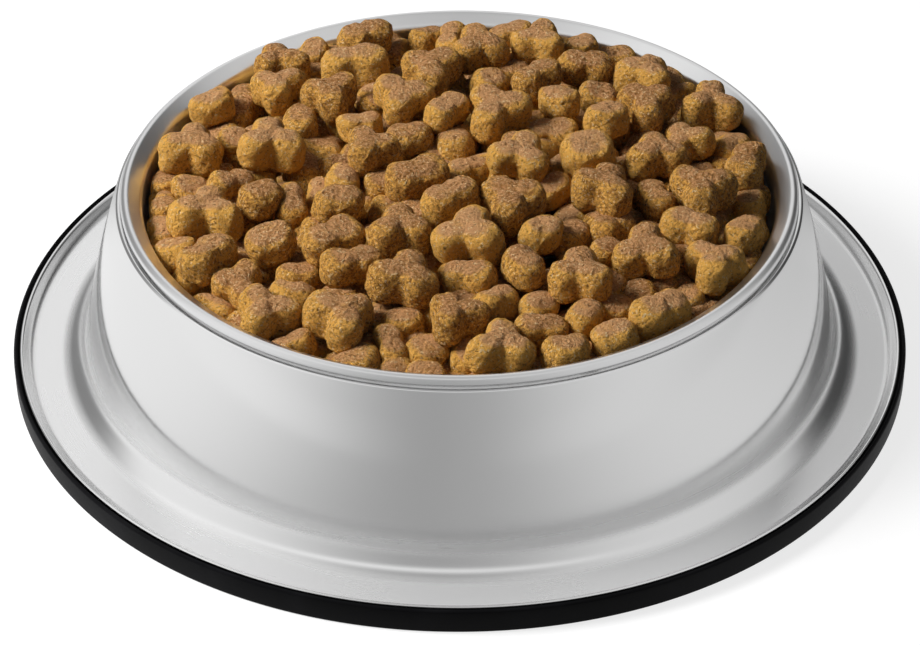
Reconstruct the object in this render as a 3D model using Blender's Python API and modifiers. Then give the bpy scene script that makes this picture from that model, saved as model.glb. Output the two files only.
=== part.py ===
"""A non-tip steel pet bowl on a rubber ring, heaped with kibble. Metres, +Z up, standing on z = 0."""

import math

import bmesh
import bpy
import numpy as np
from mathutils import Euler, Matrix, Vector
from mathutils.bvhtree import BVHTree
from mathutils.geometry import delaunay_2d_cdt

# Driving dimensions of the steel and the rubber
SEGMENTS = 56
FIT = 0.0003
SHEET = 0.0008
BASE_RADIUS = 0.1200
BASE_HEIGHT = 0.0070
RING_WIDTH = 0.0080
RING_ROUND = 0.0009
LIP_INSET = 0.0021
LIP_FLARE = 0.0027
LIP_BEND = 0.0004
FLANGE_WIDTH = 0.0149
FLANGE_HEIGHT = 0.0040
RIM_HEIGHT = 0.0524
RIM_RADIUS = 0.0864
BEAD_RADIUS = 0.0023
BEAD_END_DEGREES = 25.0
SHOULDER_RADIUS = 0.0015
WALL_TOP_OUTSET = 0.0037
WALL_FOOT_HEIGHT = 0.0096
WALL_BEND_DEGREES = 4.3
FLOOR_HEIGHT = 0.0048
FLOOR_CORNER = 0.0120
BASIN_DRAFT_DEGREES = 3.0

# Driving dimensions of the kibble
KIBBLE_LENGTH = 0.0165
KIBBLE_THICKNESS = 0.0112
HEAP_EDGE_DROP = 0.0040
HEAP_RISE = 0.0080
HEAP_LEAN = 0.0036
HOLLOW_DEPTH = 0.0085
LUMP_HEIGHT = 0.0012
LUMP_VARIATION = 0.0015
LUMPS_ACROSS = 14
LUMP_JITTER = 0.15
LUMP_CLEARANCE = 0.0074
TOP_TILT_DEGREES = 10.0
TOP_MARGIN = 1.10
CUP_SHARE = 0.60
BED_SPACING = 0.0015
SPREAD_STEPS = 80
SIDE_FULLNESS = 0.8
LOBE_SWELL = 0.35
SEED = 23

# Facts that follow from the dimensions above
LIP_RADIUS = BASE_RADIUS - LIP_INSET
LIP_BASE_RADIUS = LIP_RADIUS - LIP_FLARE
WALL_FOOT_RADIUS = LIP_BASE_RADIUS - FLANGE_WIDTH
WALL_TOP_RADIUS = RIM_RADIUS + WALL_TOP_OUTSET
BASIN_RADIUS = RIM_RADIUS - BEAD_RADIUS
BEAD_HEIGHT = RIM_HEIGHT - BEAD_RADIUS
PITCH = 2.0 * BASIN_RADIUS / LUMPS_ACROSS
HEAP_EDGE = RIM_HEIGHT - HEAP_EDGE_DROP
BED_FIT = FIT * 4.0 / 3.0


def clear_scene():
    for old in list(bpy.data.objects):
        bpy.data.objects.remove(old, do_unlink=True)


def material(name, colour, roughness, metallic):
    made = bpy.data.materials.new(name)
    made.use_nodes = True
    shader = made.node_tree.nodes["Principled BSDF"]
    shader.inputs["Base Color"].default_value = (*colour, 1.0)
    shader.inputs["Roughness"].default_value = roughness
    shader.inputs["Metallic"].default_value = metallic
    made.diffuse_color = (*colour, 1.0)
    return made


def mesh_object(name, mesh, collection, surface):
    made = bpy.data.objects.new(name, mesh)
    collection.objects.link(made)
    mesh.materials.append(surface)
    return made


def arc(centre, radius, start, end, steps):
    """Points on a circle in the (r, z) plane, the angles in degrees."""
    angles = np.radians(np.linspace(start, end, steps + 1))
    return [(centre[0] + radius * math.cos(a), centre[1] + radius * math.sin(a)) for a in angles]


def smooth(mesh, sharp_degrees):
    mesh.polygons.foreach_set("use_smooth", [True] * len(mesh.polygons))
    mesh.set_sharp_from_angle(angle=math.radians(sharp_degrees))


def finished(obj, sharp_degrees):
    """Keeps the mesh that the modifiers make, shaded smooth with its own sharp edges."""
    graph = bpy.context.evaluated_depsgraph_get()
    mesh = bpy.data.meshes.new_from_object(obj.evaluated_get(graph))
    mesh.name = obj.name
    obj.modifiers.clear()
    obj.data = mesh
    smooth(mesh, sharp_degrees)
    return obj


def turned(name, path, closed, collection, surface):
    """A profile in the (r, z) plane, turned about the Z axis."""
    mesh = bpy.data.meshes.new(name)
    edges = [(i, i + 1) for i in range(len(path) - 1)]
    if closed:
        edges.append((len(path) - 1, 0))
    mesh.from_pydata([(r, 0.0, z) for r, z in path], edges, [])
    made = mesh_object(name, mesh, collection, surface)
    screw = made.modifiers.new("Turn", "SCREW")
    screw.axis = "Z"
    screw.steps = SEGMENTS
    screw.render_steps = SEGMENTS
    screw.use_merge_vertices = True
    screw.merge_threshold = 0.00005
    screw.use_smooth_shade = True
    return made


def sheet_thickness(obj, side):
    solid = obj.modifiers.new("Sheet", "SOLIDIFY")
    solid.thickness = SHEET
    solid.offset = side
    solid.use_even_offset = True
    solid.use_rim = True


# The food basin

def basin_wall_radius(height):
    """Inner radius of the basin above its rounded corner."""
    return BASIN_RADIUS - (BEAD_HEIGHT - height) * math.tan(math.radians(BASIN_DRAFT_DEGREES))


def basin_corner(clearance):
    """The rounded corner from the wall to the floor, that much inside the steel."""
    centre_height = FLOOR_HEIGHT + FLOOR_CORNER
    reach = FLOOR_CORNER * math.cos(math.radians(BASIN_DRAFT_DEGREES))
    centre = (basin_wall_radius(centre_height) - reach, centre_height)
    return arc(centre, FLOOR_CORNER - clearance, 0.0, -90.0, 4)


def food_basin(collection, surface):
    """Deep-drawn dish: floor, rounded corner, wall and the rolled rim, from the middle outwards."""
    path = [(0.0, FLOOR_HEIGHT)]
    path += reversed(basin_corner(0.0))
    path += arc((RIM_RADIUS, BEAD_HEIGHT), BEAD_RADIUS, 180.0, BEAD_END_DEGREES, 7)
    basin = turned("food_basin", path, False, collection, surface)
    sheet_thickness(basin, -1.0)
    return finished(basin, 40.0)


# The outer skirt with its flange and lip

def tuck_height():
    """Top face of the skirt where it runs in under the rolled rim."""
    inner = BEAD_RADIUS - SHEET
    return BEAD_HEIGHT + inner * math.sin(math.radians(BEAD_END_DEGREES)) - FIT


def wall_angles():
    """Slopes of the wall from the vertical at its top and at its foot."""
    chord = math.atan2(WALL_FOOT_RADIUS - WALL_TOP_RADIUS, tuck_height() - WALL_FOOT_HEIGHT)
    bend = math.radians(WALL_BEND_DEGREES)
    return chord + bend, chord - bend


def wall_path(steps):
    """The gently bowed wall, a quadratic curve from the shoulder to the foot."""
    top_angle, _ = wall_angles()
    top_height = tuck_height() - SHOULDER_RADIUS * (1.0 - math.sin(top_angle))
    top = Vector((WALL_TOP_RADIUS, top_height))
    foot = Vector((WALL_FOOT_RADIUS, WALL_FOOT_HEIGHT))
    chord = foot - top
    outward = Vector((-chord.y, chord.x)).normalized()
    control = (top + foot) / 2.0 + outward * chord.length / 2.0 * math.tan(math.radians(WALL_BEND_DEGREES))
    points = []
    for i in range(steps + 1):
        t = i / steps
        point = top * (1.0 - t) ** 2 + control * 2.0 * t * (1.0 - t) + foot * t**2
        points.append((point.x, point.y))
    return points


def skirt_path():
    top_angle, foot_angle = wall_angles()
    wall = wall_path(5)
    shoulder = (
        wall[0][0] - SHOULDER_RADIUS * math.cos(top_angle),
        wall[0][1] - SHOULDER_RADIUS * math.sin(top_angle),
    )
    fillet_radius = (WALL_FOOT_HEIGHT - FLANGE_HEIGHT) / (1.0 - math.sin(foot_angle))
    fillet = (
        WALL_FOOT_RADIUS + fillet_radius * math.cos(foot_angle),
        FLANGE_HEIGHT + fillet_radius,
    )
    path = [(RIM_RADIUS, tuck_height())]
    path += arc(shoulder, SHOULDER_RADIUS, 90.0, math.degrees(top_angle), 2)
    path += wall[1:]
    path += arc(fillet, fillet_radius, 180.0 + math.degrees(foot_angle), 270.0, 4)[1:]
    path.append((LIP_BASE_RADIUS - LIP_BEND, FLANGE_HEIGHT))
    path.append((LIP_BASE_RADIUS + LIP_BEND, FLANGE_HEIGHT + LIP_BEND))
    path.append((LIP_RADIUS, BASE_HEIGHT))
    return path


def skirt(collection, surface):
    made = turned("skirt", skirt_path(), False, collection, surface)
    sheet_thickness(made, -1.0)
    return finished(made, 40.0)


# The rubber ring that grips the flange

def ring_path():
    """A section that lies under the flange and stands outside the lip."""
    lip = Vector((LIP_FLARE - LIP_BEND, BASE_HEIGHT - FLANGE_HEIGHT - LIP_BEND)).normalized()
    away = Vector((lip.y, -lip.x)) * (SHEET + FIT)
    top = Vector((LIP_RADIUS, BASE_HEIGHT)) + away
    seat_height = FLANGE_HEIGHT - SHEET - FIT
    foot = top - lip * ((top.y - seat_height) / lip.y)
    inner = BASE_RADIUS - RING_WIDTH
    outer = BASE_RADIUS - RING_ROUND
    path = [(inner, seat_height), (foot.x, foot.y), (top.x, top.y)]
    path += arc((outer, BASE_HEIGHT - RING_ROUND), RING_ROUND, 75.0, 0.0, 2)
    path += arc((outer, RING_ROUND), RING_ROUND, 0.0, -90.0, 2)
    path += [(inner, 0.0)]
    return path


def rubber_ring(collection, surface):
    return finished(turned("rubber_ring", ring_path(), True, collection, surface), 40.0)


# The kibble

# Each kind's outline: its mean half length and its wave, as shares of half a length, and its lobes
OUTLINES = {
    "oval": (0.86, 0.07, 2),
    "bone": (0.87, 0.22, 2),
    "clover": (0.91, 0.20, 3),
}
LUMP_KINDS = ("oval", "bone", "clover", "clover", "bone")

# Points on each half-buried piece and on each cup: the share of the outline and the number round it
LUMP_RINGS = ((0.40, 5), (0.72, 9), (0.96, 12))
CUP_RINGS = ((0.50, 6), (0.90, 9))

# The pieces on top: kind, steps to the right and to the back, turn in degrees, size
STEPS_TO_WALL = 84.1
TOP_PIECES = (
    ("clover", -71, 14, 85, 1.00),
    ("oval", -67, 36, 40, 0.80),
    ("clover", -50, 55, 105, 0.92),
    ("clover", -49, 40, 30, 0.92),
    ("clover", -50, 11, 100, 1.04),
    ("clover", -35, 34, 40, 0.92),
    ("bone", -29, 51, 10, 1.06),
    ("bone", -26, 68, 30, 0.90),
    ("clover", -63, -16, 85, 1.06),
    ("oval", -53, -13, 50, 0.80),
    ("bone", -64, -35, 50, 0.95),
    ("oval", -31, -17, 0, 0.84),
    ("oval", -48, -31, 10, 0.84),
    ("bone", -30, -32, 30, 0.95),
    ("clover", -48, -57, 5, 0.98),
    ("clover", -28, -60, 40, 1.02),
    ("bone", -23, -43, 20, 0.86),
    ("clover", 6, 58, 105, 0.94),
    ("clover", 22, 61, 70, 0.92),
    ("oval", 33, 63, 50, 0.68),
    ("clover", -7, 46, 35, 1.02),
    ("clover", -15, 29, 15, 0.94),
    ("bone", -3, 24, 55, 0.80),
    ("clover", 9, 24, 5, 1.06),
    ("bone", 21, 42, 45, 0.86),
    ("clover", -23, 6, 0, 0.90),
    ("bone", -11, -8, 25, 0.95),
    ("clover", 16, 1, 70, 0.94),
    ("clover", 13, -19, 15, 1.04),
    ("bone", -1, -18, 40, 0.92),
    ("bone", 36, 50, 0, 0.84),
    ("clover", 50, 48, 60, 0.94),
    ("oval", 27, 30, -35, 0.74),
    ("oval", 40, 23, 40, 0.82),
    ("clover", 52, 31, 25, 0.96),
    ("clover", 67, 34, 90, 0.96),
    ("oval", 34, 3, 20, 0.98),
    ("clover", 52, 6, 100, 0.94),
    ("bone", 76, 7, 80, 0.84),
    ("clover", 63, -9, 20, 1.04),
    ("clover", 37, -11, 70, 1.00),
    ("clover", 29, -46, 85, 0.98),
    ("bone", 60, -23, -25, 0.88),
    ("oval", 72, -24, 60, 0.78),
    ("clover", 64, -38, 15, 0.98),
    ("clover", 47, -37, 85, 0.96),
    ("bone", 49, -57, 40, 0.95),
    ("oval", 38, -66, 25, 0.80),
    ("oval", 26, -72, 20, 0.80),
    ("oval", 20, -29, 35, 0.76),
    ("clover", -17, -31, 100, 0.98),
    ("clover", 2, -33, 80, 1.04),
    ("oval", 17, -43, -60, 0.80),
    ("clover", -16, -50, 75, 1.02),
    ("clover", -3, -60, 5, 0.90),
    ("clover", 10, -72, 90, 0.98),
)


def outline(kind, angle):
    """Half length of a piece of kibble towards an angle: a ring with two or three lobes."""
    mean, wave, lobes = OUTLINES[kind]
    return KIBBLE_LENGTH / 2.0 * (mean + wave * np.cos(lobes * angle))


def half_width(place, direction):
    """How far a piece reaches from its middle towards a direction, in plan."""
    angles = math.tau * np.arange(24) / 24
    return float((outline(place["kind"], angles) * np.cos(angles + place["turn"] - direction)).max() * place["size"])


def middle_level(x, y):
    """Height of the middles of the top pieces: a shallow dome, heaped a little towards the back."""
    return HEAP_EDGE + HEAP_LEAN * y / BASIN_RADIUS + HEAP_RISE * (1.0 - (x**2 + y**2) / BASIN_RADIUS**2)


def kept_inside(place):
    """Moves a piece towards the middle until it is clear of the basin wall."""
    radius = math.hypot(place["x"], place["y"])
    limit = BASIN_RADIUS - 2.0 * FIT - half_width(place, math.atan2(place["y"], place["x"]))
    if radius > limit:
        place["x"] *= limit / radius
        place["y"] *= limit / radius


def move_apart(one, other):
    """Moves two pieces apart along the line between them until they are clear of each other."""
    dx, dy = other["x"] - one["x"], other["y"] - one["y"]
    distance = math.hypot(dx, dy)
    if distance > KIBBLE_LENGTH * (OUTLINES["clover"][0] + OUTLINES["clover"][1]) * TOP_MARGIN:
        return
    direction = math.atan2(dy, dx)
    needed = half_width(one, direction) + half_width(other, direction + math.pi) + 2.0 * FIT
    push = max(0.0, needed - distance) / 2.0
    for place, sign in ((one, -1.0), (other, 1.0)):
        place["x"] += sign * push * math.cos(direction)
        place["y"] += sign * push * math.sin(direction)


def top_places(rng):
    """The pieces on top, set side by side, from the middle of the heap outwards."""
    places = []
    step = BASIN_RADIUS / STEPS_TO_WALL
    for kind, right, behind, turn, size in TOP_PIECES:
        place = {"kind": kind, "x": right * step, "y": behind * step}
        place["turn"] = math.radians(turn)
        place["size"] = size
        place["tilt"] = np.radians(rng.uniform(-TOP_TILT_DEGREES, TOP_TILT_DEGREES, 2))
        places.append(place)
    for _ in range(SPREAD_STEPS):
        for number, one in enumerate(places):
            for other in places[number + 1 :]:
                move_apart(one, other)
            kept_inside(one)
    return places


def lump_places(rng, tops):
    """Jittered places between the pieces on top, for the half-buried ones."""
    lumps = []
    reach = BASIN_RADIUS - KIBBLE_LENGTH / 2.0 - 2.0 * FIT
    for j in range(-LUMPS_ACROSS, LUMPS_ACROSS + 1):
        for i in range(-LUMPS_ACROSS, LUMPS_ACROSS + 1):
            shift = rng.uniform(-LUMP_JITTER, LUMP_JITTER, 2) * PITCH
            kind = LUMP_KINDS[rng.integers(len(LUMP_KINDS))]
            turn = rng.uniform(0.0, math.tau)
            size = rng.uniform(0.80, 1.00)
            lift = rng.uniform(-1.0, 1.0)
            x = PITCH * (i + j / 2.0) + shift[0]
            y = PITCH * j * math.sqrt(3.0) / 2.0 + shift[1]
            nearest = min(math.hypot(x - place["x"], y - place["y"]) for place in tops)
            if math.hypot(x, y) > reach or nearest < LUMP_CLEARANCE:
                continue
            lumps.append({"x": x, "y": y, "kind": kind, "turn": turn, "size": size, "lift": lift})
    return lumps


def depth_in(place, x, y):
    """Distance from the middle of a piece as a share of its outline: under 1 is inside."""
    dx, dy = x - place["x"], y - place["y"]
    return np.hypot(dx, dy) / (outline(place["kind"], np.arctan2(dy, dx) - place["turn"]) * place["size"])


def dome(depth):
    return np.sqrt(np.clip(1.0 - depth**2, 0.0, 1.0))


def bed_height(lumps, tops, x, y):
    """The highest of the half-buried pieces and the hollows, with a cup that carries each piece on top."""
    heights = middle_level(x, y) - HOLLOW_DEPTH
    for place in lumps:
        depth = depth_in(place, x, y)
        top = middle_level(place["x"], place["y"]) + LUMP_HEIGHT + place["lift"] * LUMP_VARIATION
        swelling = top - KIBBLE_THICKNESS * (1.0 - dome(depth))
        heights = np.where(depth < 1.0, np.maximum(heights, swelling), heights)
    for place in tops:
        depth = depth_in(place, x, y) / TOP_MARGIN
        under = middle_level(place["x"], place["y"]) - KIBBLE_THICKNESS / 2.0 * dome(depth) * place["size"]
        heights = np.where(depth < 1.0, np.minimum(heights, under), heights)
        heights = np.where(depth < CUP_SHARE, under, heights)
    return heights


def rings_on(place, rings):
    """Points in plan on one piece: its middle and rings that follow its outline."""
    points = [(place["x"], place["y"])]
    for spread, count in rings:
        angles = place["turn"] + math.tau * np.arange(count) / count
        reach = outline(place["kind"], angles - place["turn"]) * place["size"] * spread
        points += zip(place["x"] + reach * np.cos(angles), place["y"] + reach * np.sin(angles))
    return points


def creases_of(places):
    """Points in plan between neighbours: halfway, and at the corners where three meet."""
    points = []
    for number, one in enumerate(places):
        for other in places[number + 1 :]:
            across = Vector((other["x"] - one["x"], other["y"] - one["y"]))
            if across.length > 1.4 * PITCH:
                continue
            halfway = Vector((one["x"] + other["x"], one["y"] + other["y"])) / 2.0
            along = Vector((-across.y, across.x)).normalized() * PITCH * math.tan(math.radians(30.0)) / 2.0
            points += [tuple(halfway), tuple(halfway + along), tuple(halfway - along)]
    return points


def bed_points(lumps, tops, edge_radius):
    """The points in plan that the top of the bed is built on, none too near another."""
    kept = np.zeros((0, 2))
    candidates = creases_of(lumps + tops)
    candidates += [point for place in lumps for point in rings_on(place, LUMP_RINGS)]
    candidates += [point for place in tops for point in rings_on(place, CUP_RINGS)]
    for point in np.array(candidates):
        if math.hypot(*point) > edge_radius - BED_SPACING:
            continue
        if len(kept) == 0 or np.hypot(*(kept - point).T).min() > BED_SPACING:
            kept = np.vstack([kept, point])
    return [tuple(point) for point in kept.tolist()]


def bed_side(edge_height):
    """Radius and height down the outside of the bed, one fit clear of the steel."""
    return [(basin_wall_radius(edge_height) - BED_FIT, edge_height)] + basin_corner(BED_FIT)


def kibble_bed(lumps, tops, collection, surface):
    """The mass of kibble that fills the basin, its top moulded as half-buried pieces and cups."""
    edge_height = HEAP_EDGE - HEAP_LEAN - HOLLOW_DEPTH
    side = bed_side(edge_height)
    angles = math.tau * np.arange(SEGMENTS) / SEGMENTS
    rim = [(side[0][0] * math.cos(a), side[0][0] * math.sin(a)) for a in angles]
    plan = [Vector(point) for point in rim + bed_points(lumps, tops, side[0][0])]
    plan, _, faces, _, _, _ = delaunay_2d_cdt(plan, [], [], 0, 1e-7)
    flat = np.array([tuple(point) for point in plan])
    heights = bed_height(lumps, tops, flat[:, 0], flat[:, 1])
    heights[:SEGMENTS] = edge_height
    points = [(x, y, z) for (x, y), z in zip(flat.tolist(), heights.tolist())]
    faces = [tuple(face) for face in faces]
    above = list(range(SEGMENTS))
    for radius, height in side[1:]:
        below = [len(points) + k for k in range(SEGMENTS)]
        points += [(radius * math.cos(a), radius * math.sin(a), height) for a in angles]
        for k in range(SEGMENTS):
            after = (k + 1) % SEGMENTS
            faces.append((above[k], below[k], below[after], above[after]))
        above = below
    points.append((0.0, 0.0, side[-1][1]))
    faces += [(above[(k + 1) % SEGMENTS], above[k], len(points) - 1) for k in range(SEGMENTS)]
    mesh = bpy.data.meshes.new("kibble_bed")
    mesh.from_pydata(points, [], faces)
    smooth(mesh, 42.0)
    return mesh_object("kibble_bed", mesh, collection, surface)


def kibble_mesh(name, place):
    """One piece: its outline swelled up and down, with fuller sides than a ball."""
    mesh = bpy.data.meshes.new(name)
    shape = bmesh.new()
    if place["kind"] == "oval":
        bmesh.ops.create_icosphere(shape, subdivisions=2, radius=1.0)
    else:
        bmesh.ops.create_uvsphere(shape, u_segments=15, v_segments=6, radius=1.0)
    for vertex in shape.verts:
        ball = vertex.co.copy()
        angle = math.atan2(ball.y, ball.x)
        level = math.hypot(ball.x, ball.y)
        reach = outline(place["kind"], angle) * place["size"] * level**SIDE_FULLNESS
        swell = outline(place["kind"], angle) * 2.0 / KIBBLE_LENGTH - OUTLINES["oval"][0]
        height = KIBBLE_THICKNESS / 2.0 * place["size"] * ball.z * (1.0 + LOBE_SWELL * level * swell)
        vertex.co = (reach * math.cos(angle), reach * math.sin(angle), height)
    bmesh.ops.recalc_face_normals(shape, faces=shape.faces)
    shape.to_mesh(mesh)
    shape.free()
    smooth(mesh, 75.0)
    return mesh


def world_tree(obj, swell):
    """A search tree of the object in place, its surface moved out by that much."""
    mesh = obj.data
    matrix = obj.matrix_basis
    points = [matrix @ (vertex.co + vertex.normal * swell) for vertex in mesh.vertices]
    return BVHTree.FromPolygons(points, [tuple(face.vertices) for face in mesh.polygons])


def seat(obj, place, obstacles):
    """Lowers the piece until its surface is one fit from what lies under it."""
    step = KIBBLE_THICKNESS / 8.0
    rotation = Euler((place["tilt"][0], place["tilt"][1], place["turn"])).to_matrix().to_4x4()
    height = HEAP_EDGE + HEAP_RISE + KIBBLE_LENGTH
    while step > FIT / 8.0:
        obj.matrix_basis = Matrix.Translation((place["x"], place["y"], height - step)) @ rotation
        tree = world_tree(obj, FIT)
        if any(tree.overlap(other) for other in obstacles):
            step /= 2.0
        else:
            height -= step
    obj.matrix_basis = Matrix.Translation((place["x"], place["y"], height)) @ rotation


def top_kibble(places, obstacles, collection, surfaces):
    """The pieces on top, each seated on the bed and on the pieces before it."""
    for number, place in enumerate(places, 1):
        name = f"kibble_{number:02d}"
        piece = mesh_object(name, kibble_mesh(name, place), collection, surfaces[number % len(surfaces)])
        seat(piece, place, obstacles)
        obstacles.append(world_tree(piece, 0.0))


def build():
    clear_scene()
    collection = bpy.data.collections.new("pet_food_bowl")
    bpy.context.scene.collection.children.link(collection)
    steel = material("satin_steel", (0.62, 0.62, 0.63), 0.28, 1.0)
    polished = material("polished_steel", (0.66, 0.66, 0.67), 0.16, 1.0)
    rubber = material("black_rubber", (0.012, 0.012, 0.013), 0.45, 0.0)
    browns = [
        material("kibble_brown", (0.28, 0.135, 0.045), 0.85, 0.0),
        material("kibble_tan", (0.36, 0.190, 0.070), 0.85, 0.0),
        material("kibble_dark", (0.20, 0.092, 0.031), 0.85, 0.0),
    ]
    rng = np.random.default_rng(SEED)
    tops = top_places(rng)
    lumps = lump_places(rng, tops)
    basin = food_basin(collection, polished)
    skirt(collection, steel)
    rubber_ring(collection, rubber)
    bed = kibble_bed(lumps, tops, collection, browns[0])
    top_kibble(tops, [world_tree(basin, 0.0), world_tree(bed, 0.0)], collection, browns)


build()
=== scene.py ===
"""A non-tip steel pet bowl on a black rubber ring, heaped with kibble. Metres, +Z up, standing on z = 0."""

import math

import bpy
import numpy as np
from mathutils import Matrix, Vector


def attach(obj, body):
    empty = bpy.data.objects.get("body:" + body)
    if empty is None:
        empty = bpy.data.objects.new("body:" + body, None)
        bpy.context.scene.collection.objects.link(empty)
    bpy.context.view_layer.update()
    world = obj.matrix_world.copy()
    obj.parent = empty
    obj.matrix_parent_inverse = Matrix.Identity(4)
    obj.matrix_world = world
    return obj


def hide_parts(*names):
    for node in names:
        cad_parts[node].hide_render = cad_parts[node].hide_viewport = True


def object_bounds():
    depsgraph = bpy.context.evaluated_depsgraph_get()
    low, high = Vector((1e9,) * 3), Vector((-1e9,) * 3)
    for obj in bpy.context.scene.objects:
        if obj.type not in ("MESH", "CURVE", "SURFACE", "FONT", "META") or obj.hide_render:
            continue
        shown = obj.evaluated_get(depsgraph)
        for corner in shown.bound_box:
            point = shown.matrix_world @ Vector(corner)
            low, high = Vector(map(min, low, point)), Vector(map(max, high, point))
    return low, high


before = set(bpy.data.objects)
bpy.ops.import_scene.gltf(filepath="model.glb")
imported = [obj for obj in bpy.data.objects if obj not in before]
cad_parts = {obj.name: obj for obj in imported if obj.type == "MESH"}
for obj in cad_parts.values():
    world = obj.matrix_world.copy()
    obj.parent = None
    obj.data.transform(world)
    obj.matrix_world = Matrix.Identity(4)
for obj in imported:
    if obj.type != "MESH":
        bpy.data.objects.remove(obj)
cad_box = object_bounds()


# Food basin. A dish deep-drawn from stainless sheet and polished. Near the top its wall bends over a knee
# into a short flare, and the edge is rolled over outwards into a small bead that hooks over the skirt's top.

SHEET = 0.0008
RIM_RADIUS = 0.0864
RIM_HEIGHT = 0.0524
BEAD_RADIUS = 0.0023
ROLL_RADIUS = 0.0015
ROLL_END_DEGREES = -10.0
FLARE_TILT_DEGREES = 35.0
FLARE_LENGTH = 0.0030
KNEE_RADIUS = 0.0022
KNEE_DROP = 0.0154
BEAD_HEIGHT = RIM_HEIGHT - BEAD_RADIUS
BASIN_RADIUS = RIM_RADIUS - BEAD_RADIUS
DRAFT_ANGLE = math.radians(3.0)
FLOOR_HEIGHT = 0.0048
FLOOR_CORNER = 0.0120
TURN_STEPS = 384


def arc(centre, radius, start, end, steps):
    """Points centre + radius (cos a, sin a) in the (r, z) plane, the angle a going from start to end."""
    angles = np.radians(np.linspace(start, end, steps + 1))
    return np.array(centre) + radius * np.stack([np.cos(angles), np.sin(angles)], axis=1)


def sheet_section(path):
    """The path, then the path moved by SHEET along its right-hand normal and run backwards."""
    along = np.gradient(path, axis=0)
    along /= np.hypot(along[:, 0], along[:, 1])[:, None]
    right = np.stack([along[:, 1], -along[:, 0]], axis=1)
    back = path + right * SHEET
    back[path[:, 0] == 0.0, 0] = 0.0
    return np.concatenate([path, back[::-1]])


def mesh_piece(name, points, faces, surface):
    """A smooth-shaded object made of the points and the faces."""
    mesh = bpy.data.meshes.new(name)
    mesh.from_pydata(points.tolist(), [], faces)
    mesh.polygons.foreach_set("use_smooth", np.ones(len(mesh.polygons), bool))
    mesh.materials.append(surface)
    piece = bpy.data.objects.new(name, mesh)
    bpy.context.scene.collection.objects.link(piece)
    return piece


def turned_piece(name, section, surface):
    """Surface (r cos a, r sin a, z) over the section's points (r, z) and the angle a round the Z axis."""
    angles = math.tau * np.arange(TURN_STEPS) / TURN_STEPS
    radius, height = section[:, :1], section[:, 1:]
    level = height + 0.0 * angles
    points = np.stack([radius * np.cos(angles), radius * np.sin(angles), level], axis=-1)
    index = np.arange(points.size // 3).reshape(points.shape[:2])
    on_axis = section[:, 0] == 0.0
    index[on_axis] = index[on_axis, :1]
    near, far = index, np.roll(index, -1, axis=0)
    if on_axis.any():
        near, far = near[:-1], far[:-1]
    quads = np.stack([near, far, np.roll(far, -1, axis=1), np.roll(near, -1, axis=1)], axis=-1)
    quads = quads.reshape(-1, 4)
    to_pole = quads[:, 1] == quads[:, 2]
    from_pole = quads[:, 0] == quads[:, 3]
    faces = quads[~(to_pole | from_pole)].tolist()
    faces += quads[to_pole][:, [0, 1, 3]].tolist()
    faces += quads[from_pole][:, [0, 1, 2]].tolist()
    used, packed = np.unique(np.concatenate([np.ravel(face) for face in faces]), return_inverse=True)
    lengths = np.cumsum([len(face) for face in faces])[:-1]
    faces = [face.tolist() for face in np.split(packed, lengths)]
    return mesh_piece(name, points.reshape(-1, 3)[used], faces, surface)


class Value:
    """A socket in a material. Arithmetic on it adds Math nodes, and node() adds any other node."""

    def __init__(self, tree, socket=None):
        self.tree = tree
        self.socket = socket

    def node(self, kind, inputs, settings=(), output=0):
        """A node of that kind: its settings first, then a value or a link for each socket named."""
        made = self.tree.nodes.new(kind)
        for name, setting in dict(settings).items():
            setattr(made, name, setting)
        for name, value in inputs.items():
            if isinstance(value, Value):
                self.tree.links.new(value.socket, made.inputs[name])
            else:
                made.inputs[name].default_value = value
        return Value(self.tree, made.outputs[output])

    def math(self, operation, *values):
        return self.node("ShaderNodeMath", dict(enumerate(values)), {"operation": operation})

    def __add__(self, other):
        return self.math("ADD", self, other)

    def __radd__(self, other):
        return self.math("ADD", other, self)

    def __sub__(self, other):
        return self.math("SUBTRACT", self, other)

    def __rsub__(self, other):
        return self.math("SUBTRACT", other, self)

    def __mul__(self, other):
        return self.math("MULTIPLY", self, other)

    def __rmul__(self, other):
        return self.math("MULTIPLY", other, self)

    def ramp(self, low, high):
        """0 below low, 1 above high and a smooth step between."""
        sockets = {0: self, 1: low, 2: high, 3: 0.0, 4: 1.0}
        return self.node("ShaderNodeMapRange", sockets, {"interpolation_type": "SMOOTHSTEP"})

    def noise(self, scale, detail, roughness=0.55):
        """Fractal noise between 0 and 1 on this vector, with that many cells to the metre."""
        sockets = {"Vector": self, "Scale": scale, "Detail": detail, "Roughness": roughness}
        return self.node("ShaderNodeTexNoise", sockets)

    def between(self, low, high):
        """A mix from the first colour to the second by this value."""
        sockets = {0: self, 6: low, 7: high}
        return self.node("ShaderNodeMix", sockets, {"data_type": "RGBA"}, output=2)


def new_surface(name):
    """An empty material: its tree's first value and its shader node."""
    material = bpy.data.materials.new(name)
    material.use_nodes = True
    shader = material.node_tree.nodes["Principled BSDF"]
    return material, Value(material.node_tree), shader


def object_place(start):
    """The place on the object, in metres."""
    return start.node("ShaderNodeTexCoord", {}, output=3)


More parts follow.
